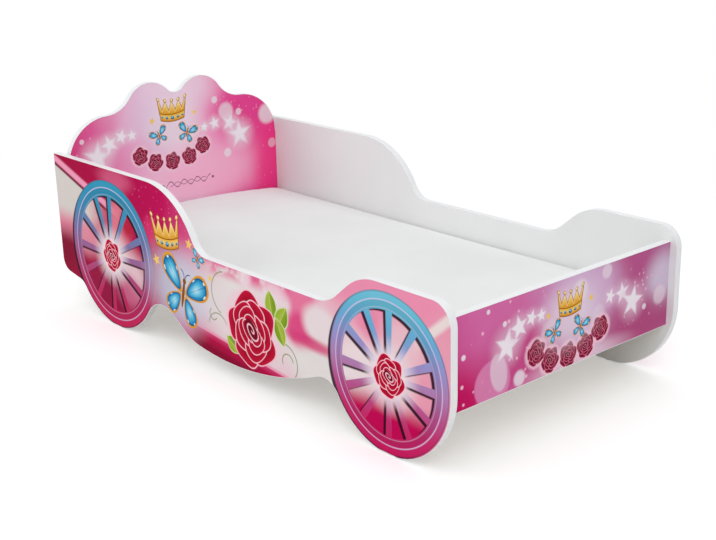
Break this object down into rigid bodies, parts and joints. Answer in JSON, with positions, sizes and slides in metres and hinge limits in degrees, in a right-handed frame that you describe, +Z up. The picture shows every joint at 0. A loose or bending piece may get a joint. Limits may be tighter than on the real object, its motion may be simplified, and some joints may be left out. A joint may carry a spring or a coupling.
{
  "type": "carriage bed",
  "caption": "Low child's bed in white laminated board with carriage-wheel side panels, a scalloped headboard, a straight footboard and a mattress on wooden slats.",
  "frame": {"origin": "on the floor, under the middle of the bed's length and width", "axes": "+X along the bed from the headboard to the footboard, +Y across it to the left side, +Z up"},
  "size_m": [1.484, 0.736, 0.585],
  "materials": {
    "board": "white laminate, satin",
    "edge_band": "white banding, satin",
    "print": "printed foil, satin",
    "slat_wood": "planed pine",
    "batten_wood": "planed pine",
    "dowel_wood": "beech",
    "webbing": "woven tape",
    "mattress_fabric": "soft white knit",
    "foam": "open foam",
    "zinc": "zinc plated",
    "screw_steel": "yellow passivated",
    "glide_plastic": "moulded"
  },
  "bodies": {
    "root": {"right_side_panel": "board", "left_side_panel": "board", "right_edge_band": "edge_band", "left_edge_band": "edge_band", "right_side_print": "print", "left_side_print": "print", "headboard": "board", "headboard_edge_band": "edge_band", "headboard_print": "print", "footboard": "board", "footboard_edge_band": "edge_band", "footboard_print": "print", "right_batten": "batten_wood", "left_batten": "batten_wood", "right_slat_strap": "webbing", "left_slat_strap": "webbing", "strap_staples": "zinc", "mattress_cover": "mattress_fabric", "mattress_core": "foam", "cam_bolts": "zinc", "cam_discs": "zinc", "dowels": "dowel_wood", "batten_screws": "screw_steel", "slat_screws": "screw_steel", "floor_glides": "glide_plastic", "glide_nails": "zinc", "slat_01": "slat_wood", "slat_02": "slat_wood", "slat_03": "slat_wood", "slat_04": "slat_wood", "slat_05": "slat_wood", "slat_06": "slat_wood", "slat_07": "slat_wood", "slat_08": "slat_wood", "slat_09": "slat_wood", "slat_10": "slat_wood", "slat_11": "slat_wood", "slat_12": "slat_wood"}
  },
  "joints": []
}
